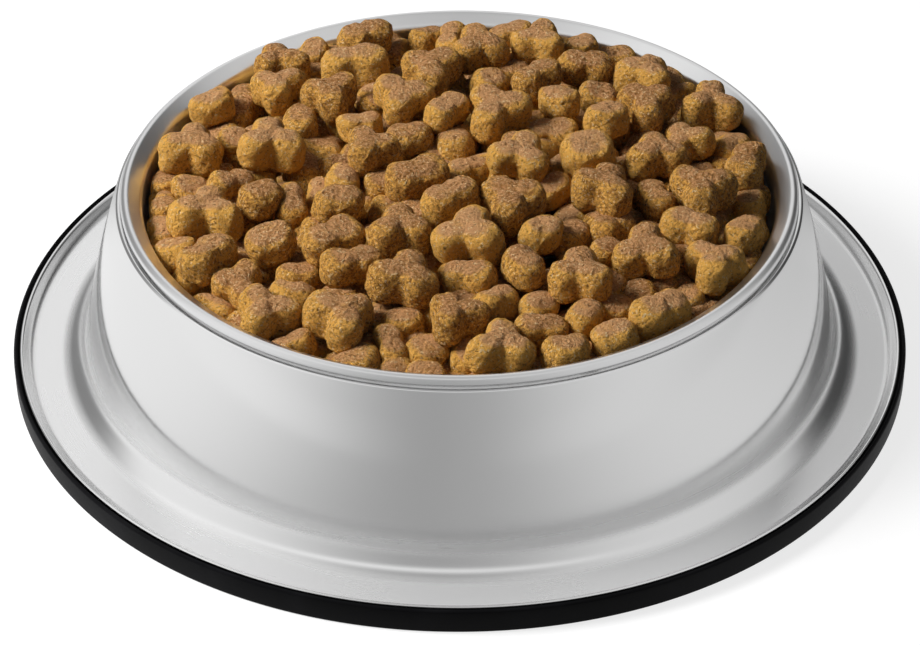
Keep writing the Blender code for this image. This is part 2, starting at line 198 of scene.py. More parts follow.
def steel(name, colour, roughness, grain, dull_foot):
    """Stainless steel turned on a lathe: faint rings of finer and coarser polish round the Z axis.

    Below 20 mm it is rougher, and brushed dull by dull_foot but for a burnished ring low in the fillet.
    """
    material, start, shader = new_surface(name)
    place = object_place(start)
    parts = start.node("ShaderNodeSeparateXYZ", {0: place})
    x, y, z = (Value(start.tree, parts.socket.node.outputs[k]) for k in range(3))
    radius = start.math("SQRT", x * x + y * y)
    rings = start.node("ShaderNodeCombineXYZ", {0: radius, 1: x * 0.02, 2: z})
    lines = rings.noise(2400.0, 3.0)
    smears = place.noise(28.0, 2.0)
    shader.inputs["Base Color"].default_value = (*colour, 1.0)
    burnished = z.ramp(0.0040, 0.0048) * (1.0 - z.ramp(0.0072, 0.0090))
    low = 1.0 - z.ramp(0.010, 0.020)
    dull = low * (1.0 - burnished) * dull_foot
    level = (lines - 0.5) * grain + (smears - 0.5) * 0.06 + dull * 0.5 + low * 0.07 + roughness
    start.tree.links.new(level.socket, shader.inputs["Roughness"])
    start.tree.links.new((1.0 - dull).socket, shader.inputs["Metallic"])
    bump = start.node("ShaderNodeBump", {"Height": lines, "Strength": 0.05, "Distance": 0.00002})
    start.tree.links.new(bump.socket, shader.inputs["Normal"])
    return material


def basin_wall_radius(height):
    """Inner radius of the basin above its rounded corner."""
    return BASIN_RADIUS - (BEAD_HEIGHT - height) * math.tan(DRAFT_ANGLE)


corner_height = FLOOR_HEIGHT + FLOOR_CORNER
corner = (basin_wall_radius(corner_height) - FLOOR_CORNER * math.cos(DRAFT_ANGLE), corner_height)
flare_angle = 90.0 + FLARE_TILT_DEGREES
flare_tilt = math.radians(FLARE_TILT_DEGREES)
flare_up = np.array([math.cos(flare_tilt), math.sin(flare_tilt)])
flare_face = np.array([-flare_up[1], flare_up[0]])
roll_centre = (RIM_RADIUS + BEAD_RADIUS - ROLL_RADIUS, RIM_HEIGHT - ROLL_RADIUS)
bead = arc(roll_centre, ROLL_RADIUS, flare_angle, ROLL_END_DEGREES, 28)
knee_centre = bead[0] - flare_up * FLARE_LENGTH - flare_face * KNEE_RADIUS
knee = arc(knee_centre, KNEE_RADIUS, 180.0, flare_angle, 12)
below_knee = RIM_HEIGHT - KNEE_DROP
basin_path = np.concatenate([
    [(0.0, FLOOR_HEIGHT)],
    arc(corner, FLOOR_CORNER, -90.0, 0.0, 12),
    [(basin_wall_radius(below_knee), below_knee)],
    knee,
    np.linspace(knee[-1], bead[0], 6)[1:-1],
    bead,
])
polished_steel = steel("polished_steel", (0.80, 0.80, 0.80), 0.30, 0.02, 0.0)
basin = turned_piece("food_basin_fine", sheet_section(basin_path), polished_steel)
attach(basin, "root")
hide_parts("food_basin")


# Skirt. The outer sheet under the bead: a gently bowed wall, a round fillet, a flat flange and a short lip.
# Spun and satin-polished, its foot brushed, and crimped in under the rolled rim with a crease between them.

FIT = 0.0003
CREASE_DEPTH = 0.0009
SHOULDER_RADIUS = 0.0009
WALL_TOP_RADIUS = 0.0901
WALL_FOOT_RADIUS = 0.1002
WALL_FOOT_HEIGHT = 0.0103
WALL_BEND = math.radians(4.3)
FLANGE_HEIGHT = 0.0040
LIP_BASE_RADIUS = 0.1152
LIP_RADIUS = 0.1179
LIP_BEND = 0.0004
BASE_HEIGHT = 0.0070

tuck_height = bead[-1][1] - CREASE_DEPTH
chord_angle = math.atan2(WALL_FOOT_RADIUS - WALL_TOP_RADIUS, tuck_height - WALL_FOOT_HEIGHT)
top_angle = chord_angle + WALL_BEND
foot_angle = chord_angle - WALL_BEND
wall_top = np.array([WALL_TOP_RADIUS, tuck_height - SHOULDER_RADIUS * (1.0 - math.sin(top_angle))])
wall_foot = np.array([WALL_FOOT_RADIUS, WALL_FOOT_HEIGHT])


def bowed_wall(steps):
    """Quadratic curve top (1 - t)^2 + 2 control t (1 - t) + foot t^2, its control just outside the chord."""
    chord = wall_foot - wall_top
    outward = np.array([-chord[1], chord[0]])
    control = (wall_top + wall_foot) / 2.0 + outward / 2.0 * math.tan(WALL_BEND)
    t = np.linspace(0.0, 1.0, steps + 1)[:, None]
    return wall_top * (1.0 - t) ** 2 + 2.0 * control * t * (1.0 - t) + wall_foot * t**2


shoulder = wall_top - SHOULDER_RADIUS * np.array([math.cos(top_angle), math.sin(top_angle)])
fillet_radius = (WALL_FOOT_HEIGHT - FLANGE_HEIGHT) / (1.0 - math.sin(foot_angle))
fillet = (WALL_FOOT_RADIUS + fillet_radius * math.cos(foot_angle), FLANGE_HEIGHT + fillet_radius)
flange_end = [(LIP_BASE_RADIUS - share * LIP_BEND, FLANGE_HEIGHT) for share in (3.0, 2.0, 1.0)]
lip_start = (LIP_BASE_RADIUS + 2.0 * LIP_BEND, FLANGE_HEIGHT + 1.8 * LIP_BEND)
skirt_path = np.concatenate([
    [(RIM_RADIUS, tuck_height)],
    arc(shoulder, SHOULDER_RADIUS, 90.0, math.degrees(top_angle), 8),
    bowed_wall(40)[1:],
    arc(fillet, fillet_radius, 180.0 + math.degrees(foot_angle), 270.0, 24)[1:],
    flange_end,
    [(LIP_BASE_RADIUS + LIP_BEND, FLANGE_HEIGHT + LIP_BEND)],
    np.linspace(lip_start, (LIP_RADIUS, BASE_HEIGHT), 4),
])
satin_steel = steel("satin_steel", (0.81, 0.81, 0.81), 0.11, 0.03, 0.20)
skirt = turned_piece("skirt_fine", sheet_section(skirt_path), satin_steel)
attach(skirt, "root")
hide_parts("skirt")


# Rubber ring. A moulded black ring, grooved inside, that is stretched over the flange and its lip.
# It has a smooth matt skin and rounded outer edges, and carries the whole bowl.

BASE_RADIUS = 0.1200
RING_WIDTH = 0.0080
RING_ROUND = 0.0009


def ring_section():
    """Closed section: under the flange, up outside the lip, over the rounded edge and along the foot."""
    lip = np.array([LIP_RADIUS - LIP_BASE_RADIUS - LIP_BEND, BASE_HEIGHT - FLANGE_HEIGHT - LIP_BEND])
    lip /= np.hypot(*lip)
    top = np.array([LIP_RADIUS, BASE_HEIGHT]) + np.array([lip[1], -lip[0]]) * (SHEET + FIT)
    seat = FLANGE_HEIGHT - SHEET - FIT
    foot = top - lip * (top[1] - seat) / lip[1]
    inner, outer = BASE_RADIUS - RING_WIDTH, BASE_RADIUS - RING_ROUND
    upper_round = arc((outer, BASE_HEIGHT - RING_ROUND), RING_ROUND, 75.0, 0.0, 8)
    lower_round = arc((outer, RING_ROUND), RING_ROUND, 0.0, -90.0, 8)
    return np.concatenate([[(inner, seat), foot, top], upper_round, lower_round, [(inner, 0.0)]])


def rubber():
    """Matt black rubber with a fine moulded grain and a little dust."""
    material, start, shader = new_surface("black_rubber")
    place = object_place(start)
    grain = place.noise(1500.0, 3.0)
    dust = place.noise(60.0, 4.0)
    colour = dust.ramp(0.45, 0.75).between((0.004, 0.004, 0.0045, 1.0), (0.008, 0.008, 0.009, 1.0))
    start.tree.links.new(colour.socket, shader.inputs["Base Color"])
    start.tree.links.new((grain * 0.12 + 0.42).socket, shader.inputs["Roughness"])
    shader.inputs["Specular IOR Level"].default_value = 0.05
    bump = start.node("ShaderNodeBump", {"Height": grain, "Strength": 0.2, "Distance": 0.00005})
    start.tree.links.new(bump.socket, shader.inputs["Normal"])
    return material


ring = turned_piece("rubber_ring_fine", ring_section(), rubber())
ring.data.set_sharp_from_angle(angle=math.radians(40.0))
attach(ring, "root")
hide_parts("rubber_ring")


# Camera. A long lens looking down at the bowl, 36 degrees above the floor.

FRAME_WIDTH = 920.0
FRAME_HEIGHT = 645.0
FOCAL_PIXELS = 2969.0
CAMERA_ELEVATION = math.radians(35.70)
CAMERA_ROLL = math.radians(0.168)
CAMERA_DISTANCE = 0.8144
aim = np.array([0.00008, 0.0076, 0.0])

camera_back = np.array([0.0, -math.cos(CAMERA_ELEVATION), math.sin(CAMERA_ELEVATION)])
level_right = np.array([1.0, 0.0, 0.0])
level_up = np.cross(camera_back, level_right)
camera_right = level_right * math.cos(CAMERA_ROLL) - level_up * math.sin(CAMERA_ROLL)
camera_up = level_right * math.sin(CAMERA_ROLL) + level_up * math.cos(CAMERA_ROLL)
camera_place = aim + camera_back * CAMERA_DISTANCE
camera_data = bpy.data.cameras.new("camera")
camera_data.sensor_width = 36.0
camera_data.lens = FOCAL_PIXELS / FRAME_WIDTH * camera_data.sensor_width
camera = bpy.data.objects.new("camera", camera_data)
turn = Matrix(np.stack([camera_right, camera_up, camera_back], axis=1).tolist()).to_4x4()
camera.matrix_world = Matrix.Translation(camera_place.tolist()) @ turn
bpy.context.scene.collection.objects.link(camera)
bpy.context.scene.camera = camera
bpy.context.scene.view_settings.view_transform = "Standard"


# Kibble. Baked dry food, cut from a three-lobed, a two-lobed and a round strand, with golden sides.
# Fifty-six pieces lie free on top, where the CAD has them; the rest of the heap is wedged between and below.

KIBBLE_LENGTH = 0.0165
KIBBLE_THICKNESS = 0.0112
HEAP_EDGE = RIM_HEIGHT - 0.0040
HEAP_RISE = 0.0080
HEAP_LEAN = 0.0036
OUTLINES = {
    "oval": (0.86, 0.07, 2),
    "bone": (0.87, 0.22, 2),
    "clover": (0.91, 0.20, 3),
}

# The free pieces: kind, turn in degrees, size
TOP_PIECES = (
    ("clover", 85, 1.00),
    ("oval", 40, 0.80),
    ("clover", 105, 0.92),
    ("clover", 30, 0.92),
    ("clover", 100, 1.04),
    ("clover", 40, 0.92),
    ("bone", 10, 1.06),
    ("bone", 30, 0.90),
    ("clover", 85, 1.06),
    ("oval", 50, 0.80),
    ("bone", 50, 0.95),
    ("oval", 0, 0.84),
    ("oval", 10, 0.84),
    ("bone", 30, 0.95),
    ("clover", 5, 0.98),
    ("clover", 40, 1.02),
    ("bone", 20, 0.86),
    ("clover", 105, 0.94),
    ("clover", 70, 0.92),
    ("oval", 50, 0.68),
    ("clover", 35, 1.02),
    ("clover", 15, 0.94),
    ("bone", 55, 0.80),
    ("clover", 5, 1.06),
    ("bone", 45, 0.86),
    ("clover", 0, 0.90),
    ("bone", 25, 0.95),
    ("clover", 70, 0.94),
    ("clover", 15, 1.04),
    ("bone", 40, 0.92),
    ("bone", 0, 0.84),
    ("clover", 60, 0.94),
    ("oval", -35, 0.74),
    ("oval", 40, 0.82),
    ("clover", 25, 0.96),
    ("clover", 90, 0.96),
    ("oval", 20, 0.98),
    ("clover", 100, 0.94),
    ("bone", 80, 0.84),
    ("clover", 20, 1.04),
    ("clover", 70, 1.00),
    ("clover", 85, 0.98),
    ("bone", -25, 0.88),
    ("oval", 60, 0.78),
    ("clover", 15, 0.98),
    ("clover", 85, 0.96),
    ("bone", 40, 0.95),
    ("oval", 25, 0.80),
    ("oval", 20, 0.80),
    ("oval", 35, 0.76),
    ("clover", 100, 0.98),
    ("clover", 80, 1.04),
    ("oval", -60, 0.80),
    ("clover", 75, 1.02),
    ("clover", 5, 0.90),
    ("clover", 90, 0.98),
)

# The wedged pieces as the photograph shows them: kind, column and row of the middle, turn in degrees, size
# and how far the middle lies below the level of the free pieces, in millimetres
WEDGED_PIECES = (
    ("bone", 238, 110, 75, 0.75, 4.0),
    ("oval", 312, 55, 60, 0.72, 1.8),
    ("oval", 304, 118, 90, 0.81, 1.8),
    ("oval", 312, 75, -170, 0.72, 4.0),
    ("bone", 218, 163, 35, 0.80, 1.8),
    ("oval", 237, 145, 0, 0.72, 4.0),
    ("oval", 172, 184, 95, 0.72, 4.0),
    ("oval", 190, 190, 0, 0.72, 4.0),
    ("oval", 166, 213, 95, 0.72, 4.0),
    ("oval", 180, 246, 0, 0.81, 1.8),
    ("bone", 292, 205, 95, 0.72, 1.8),
    ("oval", 306, 268, 25, 0.81, 1.8),
    ("clover", 240, 288, 55, 0.90, 1.8),
    ("oval", 293, 292, 0, 0.85, 4.0),
    ("bone", 304, 340, 25, 0.74, 1.8),
    ("oval", 350, 357, 20, 0.87, 1.8),
    ("oval", 338, 290, 0, 0.72, 4.0),
    ("oval", 428, 40, 35, 0.72, 1.8),
    ("bone", 450, 42, 75, 0.74, 1.8),
    ("bone", 515, 32, 0, 0.83, 1.8),
    ("oval", 490, 82, 10, 0.76, 1.8),
    ("oval", 513, 70, 45, 0.72, 4.0),
    ("bone", 378, 90, 20, 0.72, 4.0),
    ("oval", 375, 110, 50, 0.72, 4.0),
    ("bone", 547, 123, -10, 0.84, 4.0),
    ("bone", 358, 120, 15, 0.76, 1.8),
    ("oval", 410, 140, 25, 0.85, 1.8),
    ("oval", 455, 147, 105, 0.82, 4.0),
    ("bone", 502, 146, 55, 0.74, 1.8),
    ("oval", 349, 175, 85, 0.72, 1.8),
    ("oval", 382, 187, 20, 0.72, 4.0),
    ("bone", 476, 170, 25, 0.74, 4.0),
    ("oval", 548, 186, 35, 0.74, 4.0),
    ("bone", 615, 52, 10, 0.75, 1.8),
    ("oval", 668, 85, -50, 0.72, 4.0),
    ("oval", 598, 92, 0, 0.79, 1.8),
    ("clover", 692, 146, 110, 0.90, 1.8),
    ("oval", 725, 150, 30, 0.72, 4.0),
    ("bone", 660, 198, -70, 0.80, 1.8),
    ("oval", 749, 207, 65, 0.72, 4.0),
    ("clover", 612, 220, 15, 0.89, 1.8),
    ("oval", 578, 238, 60, 0.83, 4.0),
    ("oval", 604, 247, 55, 0.72, 4.0),
    ("bone", 655, 231, -85, 0.72, 4.0),
    ("oval", 637, 286, -85, 0.74, 4.0),
    ("oval", 687, 299, 30, 0.72, 4.0),
    ("oval", 610, 282, 60, 0.72, 4.0),
    ("oval", 611, 310, 25, 0.72, 4.0),
    ("oval", 577, 322, 45, 0.74, 1.8),
    ("bone", 540, 332, 10, 0.80, 1.8),
    ("oval", 533, 306, 45, 0.72, 4.0),
    ("oval", 680, 255, -60, 0.72, 4.0),
    ("oval", 415, 215, -45, 0.72, 4.0),
    ("bone", 466, 277, -15, 0.89, 1.8),
    ("oval", 404, 322, 15, 0.72, 4.0),
    ("bone", 392, 348, -75, 0.76, 1.8),
    ("oval", 436, 350, 40, 0.83, 1.8),
    ("oval", 424, 370, 0, 0.72, 4.0),
    ("oval", 470, 357, 80, 0.72, 4.0),
    ("bone", 495, 305, 45, 0.80, 1.8),
    ("oval", 470, 300, 35, 0.72, 4.0),
)
CELL_TABLE = 4096


def middle_level(x, y):
    """Height of the middles of the top pieces: a shallow dome, heaped a little towards the back."""
    return HEAP_EDGE + HEAP_LEAN * y / BASIN_RADIUS + HEAP_RISE * (1.0 - (x**2 + y**2) / BASIN_RADIUS**2)


def cell_noise(points, cell, numbers):
    """Random numbers at the corners of cubes of that size, blended inside each cube by 3 t^2 - 2 t^3."""
    base = np.floor(points / cell).astype(int)
    part = points / cell - base
    part = part * part * (3.0 - 2.0 * part)
    total = 0.0
    for corner in np.ndindex(2, 2, 2):
        place = base + np.array(corner)
        code = (place[..., 0] * 73856093) ^ (place[..., 1] * 19349663) ^ (place[..., 2] * 83492791)
        share = np.where(np.array(corner) == 1, part, 1.0 - part).prod(axis=-1)
        total = total + share * numbers[code % CELL_TABLE]
    return total * 2.0 - 1.0


def kibble_forms(kinds, sizes, around, upright, fine, rng):
    """Pieces in their own axes, and how far each point is on a cut face.

    At angle a and latitude v a point is (R c cos a, R c sin a, H s): R is the outline towards a,
    c = cos(v)^0.5, s = sin(v)^0.65 and H half the thickness. R is uneven from lobe to lobe and narrows at
    the waists. Four sizes of cell noise then swell and pit it, the two finest by the share called fine.
    """
    mean, wave, lobes = np.array([OUTLINES[kind] for kind in kinds]).T[:, :, None, None]
    uneven = rng.uniform(0.0, 0.07, (2, len(kinds), 1, 1))
    starts = rng.uniform(0.0, math.tau, (2, len(kinds), 1, 1))
    scale = np.array(sizes)[:, None, None]
    angle = (math.tau * np.arange(around) / around)[None, None, :]
    rise = np.linspace(-1.0, 1.0, upright)
    latitude = (math.pi / 2.0 * np.sign(rise) * (1.0 - (1.0 - np.abs(rise)) ** 1.5))[None, :, None]
    lobe = np.cos(lobes * angle)
    reach = KIBBLE_LENGTH / 2.0 * scale * (mean + wave * (1.2 * lobe - 0.2 + 0.35 * (1.0 - lobe**2)))
    sway = uneven[0] * np.cos(angle - starts[0]) + uneven[1] * np.cos(2.0 * angle - starts[1])
    reach = reach * (1.0 + sway)
    across = np.clip(np.cos(latitude), 0.0, 1.0) ** 0.5
    upwards = np.sign(latitude) * np.abs(np.sin(latitude)) ** 0.65
    thick = KIBBLE_THICKNESS / 2.0 * scale * (1.0 - 0.16 * (0.5 - 0.5 * lobe) * across)
    out = reach * across
    form = np.stack([out * np.cos(angle), out * np.sin(angle), thick * upwards], axis=-1)
    away = form / np.linalg.norm(form, axis=-1, keepdims=True)
    shifted = form + rng.uniform(0.0, 1.0, (len(kinds), 1, 1, 3))
    numbers = rng.random(CELL_TABLE)
    swell = 0.00070 * cell_noise(shifted, 0.0065, numbers)
    swell += 0.00035 * cell_noise(shifted, 0.0028, numbers)
    swell += 0.00024 * fine * cell_noise(shifted, 0.0014, numbers)
    swell += 0.00010 * fine * cell_noise(shifted, 0.0007, numbers)
    form = form + away * swell[..., None]
    cut = np.clip((np.abs(upwards) - 0.80) / 0.16, 0.0, 1.0) + 0.0 * reach
    return form, cut


def rotations(tilts, turns):
    """Turn about X, then Y by the tilts and then about Z by the turn, as matrices."""
    sines, cosines = np.sin([*tilts.T, turns]), np.cos([*tilts.T, turns])
    one, zero = np.ones(len(turns)), np.zeros(len(turns))
    about_x = [[one, zero, zero], [zero, cosines[0], -sines[0]], [zero, sines[0], cosines[0]]]
    about_y = [[cosines[1], zero, sines[1]], [zero, one, zero], [-sines[1], zero, cosines[1]]]
    about_z = [[cosines[2], -sines[2], zero], [sines[2], cosines[2], zero], [zero, zero, one]]
    x, y, z = (np.moveaxis(np.array(m), -1, 0) for m in (about_x, about_y, about_z))
    return z @ y @ x


def node_middle(name):
    """Middle of a CAD node: the mean of its triangles' tetrahedra to the origin, by volume."""
    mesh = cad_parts[name].data
    mesh.calc_loop_triangles()
    points = np.zeros(3 * len(mesh.vertices))
    corners = np.zeros(3 * len(mesh.loop_triangles), int)
    mesh.vertices.foreach_get("co", points)
    mesh.loop_triangles.foreach_get("vertices", corners)
    triangles = points.reshape(-1, 3)[corners.reshape(-1, 3)]
    volume = np.linalg.det(triangles)
    return (triangles.sum(axis=1) / 4.0 * volume[:, None]).sum(axis=0) / volume.sum()


def kibble_object(name, forms, cuts, tones, surface):
    """One mesh of all the pieces: each is a grid closed by one point at either pole."""
    count, upright, around = cuts.shape
    index = np.arange(count * upright * around).reshape(count, upright, around)
    index[:, 0] = index[:, 0, :1]
    index[:, -1] = index[:, -1, :1]
    low, high = index[:, :-1], index[:, 1:]
    quads = np.stack([low, np.roll(low, -1, axis=2), np.roll(high, -1, axis=2), high], axis=-1)
    feet, heads = quads[:, 0].reshape(-1, 4), quads[:, -1].reshape(-1, 4)
    middle = quads[:, 1:-1].reshape(-1, 4)
    triangles = np.concatenate([feet[:, [0, 2, 3]], heads[:, :3], middle[:, :3], middle[:, [0, 2, 3]]])
    used, packed = np.unique(triangles, return_inverse=True)
    points = forms.reshape(-1, 3)[used]
    piece = mesh_piece(name, points, packed.reshape(-1, 3).tolist(), surface)
    for label, values in (("cut_face", cuts), ("bake", tones[:, None, None] + 0.0 * cuts)):
        layer = piece.data.attributes.new(label, "FLOAT", "POINT")
        layer.data.foreach_set("value", values.reshape(-1)[used].astype(np.float32))
    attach(piece, "root")
    return piece


def baked(name):
    """Baked crumb: golden sides, browner cut faces, both flecked with pale grains and dark pits."""
    material, start, shader = new_surface(name)
    place = object_place(start)
    cut = start.node("ShaderNodeAttribute", {}, {"attribute_name": "cut_face"}, output=2)
    bake = start.node("ShaderNodeAttribute", {}, {"attribute_name": "bake"}, output=2)
    blotches = place.noise(240.0, 3.0)
    crumbs = place.noise(1150.0, 5.0, 0.70)
    grains = place.noise(1500.0, 2.0)
    pits = place.noise(620.0, 4.0, 0.65)
    golden, cut_brown = (0.920, 0.490, 0.105, 1.0), (0.700, 0.365, 0.160, 1.0)
    dark_crumb, deep_brown = (0.350, 0.150, 0.040, 1.0), (0.140, 0.050, 0.010, 1.0)
    pale_grain = (0.950, 0.720, 0.400, 1.0)
    crust = (cut * 0.9 + (blotches - 0.5) * 1.5).ramp(0.15, 0.90).between(golden, cut_brown)
    crust = ((bake - 0.5) * 0.45 + (0.5 - crumbs) * 3.5 + 0.28).ramp(0.0, 1.0).between(crust, dark_crumb)
    crust = (grains.ramp(0.58, 0.68) * 0.75).between(crust, pale_grain)
    crust = ((1.0 - pits).ramp(0.60, 0.70) * 0.80).between(crust, deep_brown)
    start.tree.links.new(crust.socket, shader.inputs["Base Color"])
    shader.inputs["Roughness"].default_value = 0.90
    shader.inputs["Specular IOR Level"].default_value = 0.10
    height = crumbs + pits * 0.8 + grains * 0.3
    bump = start.node("ShaderNodeBump", {"Height": height, "Strength": 1.0, "Distance": 0.0021})
    start.tree.links.new(bump.socket, shader.inputs["Normal"])
    return material


kibble_draws = np.random.default_rng(23)
TOP_TILT = math.radians(10.0)
# What stands above the brow is pressed down a little, so that no bump passes the heap's full height.
BROW_DEPTH = 0.0030
BROW_PRESS = 0.78
top_kinds = [row[0] for row in TOP_PIECES]
top_turns = np.radians([row[1] for row in TOP_PIECES])
top_sizes = np.array([row[2] for row in TOP_PIECES])
top_tilts = kibble_draws.uniform(-TOP_TILT, TOP_TILT, (len(TOP_PIECES), 2))
top_names = [f"kibble_{number:02d}" for number in range(1, len(TOP_PIECES) + 1)]
top_middles = np.array([node_middle(name) for name in top_names])
top_turning = rotations(top_tilts, top_turns)
top_forms, top_cuts = kibble_forms(top_kinds, top_sizes, 84, 40, 1.0, kibble_draws)
top_forms = np.einsum("nij,nvuj->nvui", top_turning, top_forms) + top_middles[:, None, None, :]
brow = cad_box[1][2] - BROW_DEPTH
top_forms[..., 2] = np.minimum(top_forms[..., 2], brow + BROW_PRESS * (top_forms[..., 2] - brow))
top_tones = kibble_draws.random(len(TOP_PIECES))
crumb = baked("baked_crumb")
for number, name in enumerate(top_names):
    one = slice(number, number + 1)
    free = kibble_object(name + "_fine", top_forms[one], top_cuts[one], top_tones[one], crumb)
    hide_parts(name)


def sight_lines(columns, rows):
    """Unit directions from the camera through points of the photograph."""
    right, up = columns - FRAME_WIDTH / 2.0, FRAME_HEIGHT / 2.0 - rows
    lines = np.outer(right, camera_right) + np.outer(up, camera_up) - FOCAL_PIXELS * camera_back
    return lines / np.linalg.norm(lines, axis=1, keepdims=True)


def balls_of(kinds, sizes, turning):
    """Balls that stand for each piece while it settles: their places about its middle, and their radii."""
    spread = np.array([{"oval": 0.10, "bone": 0.27, "clover": 0.25}[kind] for kind in kinds]) * KIBBLE_LENGTH
    lobes = np.array([OUTLINES[kind][2] for kind in kinds])
    steps = np.arange(3)
    angles = math.tau * steps / lobes[:, None]
    flat = np.stack([np.cos(angles), np.sin(angles), 0.0 * angles], axis=-1)
    flat = flat * (spread * sizes)[:, None, None]
    radii = 0.94 * KIBBLE_THICKNESS / 2.0 * sizes[:, None] + 0.0 * angles
    return np.einsum("nij,nbj->nbi", turning, flat), radii


def settled(middles, lines, offsets, radii, fixed_middles, fixed_radii, sink, steps):
    """Pushes pieces off each other and off the fixed balls, mostly along their sight lines.

    Each overlap of two balls moves a piece by a share of its depth along the line between their centres.
    A weak pull draws its middle to the level of the heap less its sink, and the basin wall keeps it inside.
    """
    middles = middles.copy()
    count, balls = radii.shape
    owner = np.repeat(np.arange(count), balls)
    every_radius = np.concatenate([radii.ravel(), fixed_radii])
    for _ in range(steps):
        own = (middles[:, None] + offsets).reshape(-1, 3)
        every = np.concatenate([own, fixed_middles])
        between = own[:, None] - every[None]
        distance = np.linalg.norm(between, axis=-1) + 1e-9
        overlap = np.clip(radii.reshape(-1, 1) + every_radius[None] - distance, 0.0, None)
        overlap[:, : len(own)][owner[:, None] == owner[None]] = 0.0
        push = (between / distance[..., None] * overlap[..., None]).sum(axis=1)
        push = push.reshape(count, balls, 3).sum(axis=1)
        along = (push * lines).sum(axis=1, keepdims=True) * lines
        middles += 0.30 * along + 0.05 * (push - along)
        gap = middle_level(middles[:, 0], middles[:, 1]) - sink - middles[:, 2]
        middles += 0.04 * (gap / lines[:, 2])[:, None] * lines
        radius = np.hypot(middles[:, 0], middles[:, 1])
        limit = basin_wall_radius(np.minimum(middles[:, 2], BEAD_HEIGHT)) - 0.8 * radii.max(axis=1) - 0.001
        middles[:, :2] *= np.minimum(1.0, limit / radius)[:, None]
    return middles


WEDGED_TILT = math.radians(18.0)
WEDGED_SHRINK = 0.95
WEDGED_DROP = 0.0007
SETTLING_STEPS = 160
wedged_kinds = [row[0] for row in WEDGED_PIECES]
wedged_readings = np.array([row[1:] for row in WEDGED_PIECES], float).T
wedged_columns, wedged_rows, wedged_turns, wedged_sizes, wedged_sink = wedged_readings
wedged_tilts = kibble_draws.uniform(-1.0, 1.0, (len(WEDGED_PIECES), 2)) * WEDGED_TILT
wedged_lines = sight_lines(wedged_columns, wedged_rows)
wedged_sizes = wedged_sizes * WEDGED_SHRINK
wedged_sink = wedged_sink / 1000.0 + WEDGED_DROP
reach_level = (HEAP_EDGE - camera_place[2]) / wedged_lines[:, 2]
wedged_middles = camera_place + wedged_lines * reach_level[:, None]
wedged_turning = rotations(wedged_tilts, np.radians(wedged_turns))
wedged_balls, wedged_radii = balls_of(wedged_kinds, wedged_sizes, wedged_turning)
top_balls, top_radii = balls_of(top_kinds, top_sizes, top_turning)
held = (top_middles[:, None] + top_balls).reshape(-1, 3)
wedged_middles = settled(
    wedged_middles, wedged_lines, wedged_balls, wedged_radii,
    held, top_radii.ravel(), wedged_sink, SETTLING_STEPS,
)
wedged_forms, wedged_cuts = kibble_forms(wedged_kinds, wedged_sizes, 56, 28, 0.4, kibble_draws)
wedged_forms = np.einsum("nij,nvuj->nvui", wedged_turning, wedged_forms) + wedged_middles[:, None, None, :]
wedged_tones = kibble_draws.random(len(wedged_kinds))
wedged = kibble_object("wedged_kibble", wedged_forms, wedged_cuts, wedged_tones, crumb)
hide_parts("kibble_bed")

# The layers below: pieces on a jittered triangular pattern, and a ring of them along the wall, seen only
# through the gaps.
LAYER_PITCH = 0.0118
LAYER_JITTER = 0.0016
LAYERS = ((0.0085, 0.0), (0.0160, 0.5))
WALL_PIECES = 38
WALL_RING_DEPTH = 0.0055
BURIED_TILT = math.radians(30.0)
ring_radius = BASIN_RADIUS - 0.0075
layer_reach = int(BASIN_RADIUS / LAYER_PITCH) + 2
steps_out = np.arange(-layer_reach, layer_reach + 1)
across, behind = np.meshgrid(steps_out, steps_out)
buried = []
for depth, shift in LAYERS:
    x = LAYER_PITCH * (across + behind / 2.0 + shift).ravel()
    x = x + kibble_draws.uniform(-LAYER_JITTER, LAYER_JITTER, across.size)
    y = LAYER_PITCH * (behind * math.sqrt(0.75) + shift).ravel()
    y = y + kibble_draws.uniform(-LAYER_JITTER, LAYER_JITTER, across.size)
    inside = np.hypot(x, y) < ring_radius
    height = middle_level(x, y) - depth + kibble_draws.uniform(-0.001, 0.001, across.size)
    buried.append(np.stack([x, y, height], axis=1)[inside])
along_wall = math.tau * np.arange(WALL_PIECES) / WALL_PIECES + kibble_draws.uniform(-0.03, 0.03, WALL_PIECES)
x, y = ring_radius * np.cos(along_wall), ring_radius * np.sin(along_wall)
height = middle_level(x, y) - WALL_RING_DEPTH - kibble_draws.uniform(0.0, 0.002, WALL_PIECES)
buried.append(np.stack([x, y, height], axis=1))
buried = np.concatenate(buried)
buried_kinds = kibble_draws.choice(["oval", "bone", "clover"], len(buried)).tolist()
buried_sizes = kibble_draws.uniform(0.72, 0.92, len(buried))
buried_tilts = kibble_draws.uniform(-1.0, 1.0, (len(buried), 2)) * BURIED_TILT
buried_turning = rotations(buried_tilts, kibble_draws.uniform(0.0, math.tau, len(buried)))
buried_forms, buried_cuts = kibble_forms(buried_kinds, buried_sizes, 24, 12, 0.0, kibble_draws)
buried_forms = np.einsum("nij,nvuj->nvui", buried_turning, buried_forms) + buried[:, None, None, :]
buried_tones = kibble_draws.random(len(buried))
lower = kibble_object("buried_kibble", buried_forms, buried_cuts, buried_tones, crumb)
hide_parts("kibble_bed")


# Stage. A white floor and backdrop, a soft lamp over the left shoulder and a white sky all round.
# The steel mirrors a light tent: grey in front, paler on the left than on the right, with dark side panels.

HALF_FLOOR = 4.0
corners = HALF_FLOOR * np.array([(-1.0, -1.0, 0.0), (1.0, -1.0, 0.0), (1.0, 1.0, 0.0), (-1.0, 1.0, 0.0)])


